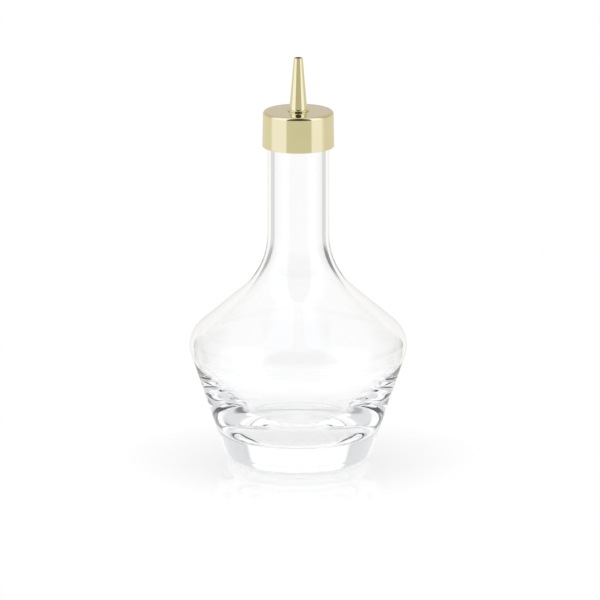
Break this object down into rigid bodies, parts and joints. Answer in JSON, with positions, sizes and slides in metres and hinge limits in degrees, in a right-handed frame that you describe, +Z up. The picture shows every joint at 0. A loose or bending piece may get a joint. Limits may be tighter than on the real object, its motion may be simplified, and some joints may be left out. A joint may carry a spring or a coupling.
{
  "type": "bitters bottle",
  "caption": "Clear glass bottle with a slim straight neck and thick tapering base, closed by a press-in metal cap with a conical dasher spout.",
  "frame": {"origin": "centre of the base, on the surface the bottle stands on", "axes": "+Z up along the bottle's axis to the tip of the spout"},
  "size_m": [0.0738, 0.0738, 0.1398],
  "materials": {
    "clear_glass": "clear, polished, colourless",
    "polished_gold": "polished pale gold plating",
    "white_plastic": "natural moulded polyethylene",
    "silicone": "translucent grey-white silicone",
    "nut_brass": "satin turned brass"
  },
  "bodies": {
    "bottle": {"glass_bottle": "clear_glass"},
    "dasher_top": {"cap_shell": "polished_gold", "dasher_spout": "polished_gold", "stopper_sleeve": "white_plastic", "rim_gasket": "silicone", "seal_ring_upper": "silicone", "seal_ring_middle": "silicone", "seal_ring_lower": "silicone", "spout_nut": "nut_brass", "flow_insert": "white_plastic"}
  },
  "joints": [
    {"name": "dasher_lift", "type": "slide", "parent": "bottle", "child": "dasher_top", "axis": [0, 0, 1], "range_m": [0, 0.03]}
  ]
}
